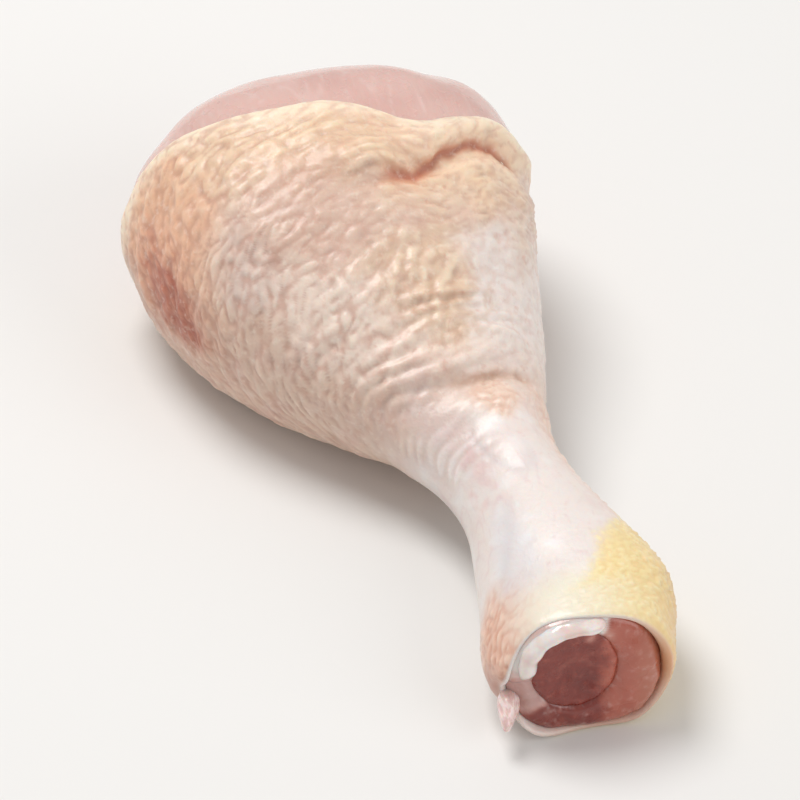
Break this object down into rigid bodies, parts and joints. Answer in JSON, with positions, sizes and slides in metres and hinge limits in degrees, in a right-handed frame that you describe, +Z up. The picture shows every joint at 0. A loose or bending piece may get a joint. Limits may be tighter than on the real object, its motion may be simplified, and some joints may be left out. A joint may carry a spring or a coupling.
{
  "type": "raw chicken drumstick",
  "caption": "Raw chicken lower leg lying on its side: skin sleeve over a plump muscle, bare meat and joint at the knee end, bone and cartilage in the cut hock.",
  "frame": {"origin": "middle of the bounding box in plan, on the surface that the leg lies on", "axes": "+X from the knee end to the cut hock, +Y towards the shin, +Z up"},
  "size_m": [0.131, 0.0674, 0.0463],
  "materials": {
    "skin": "moist, finely wrinkled, thin and slightly see-through",
    "meat": "wet and glossy",
    "bone": "moist cut marrow, satin",
    "cartilage": "smooth and wet",
    "tendon": "moist, satin",
    "fat": "soft and greasy"
  },
  "bodies": {
    "root": {"skin": "skin", "meat": "meat", "tibia": "bone", "knee_cartilage": "cartilage", "knee_ligament": "tendon", "knee_fat_pad": "fat", "hock_cartilage": "cartilage", "hock_tendon": "tendon"}
  },
  "joints": []
}
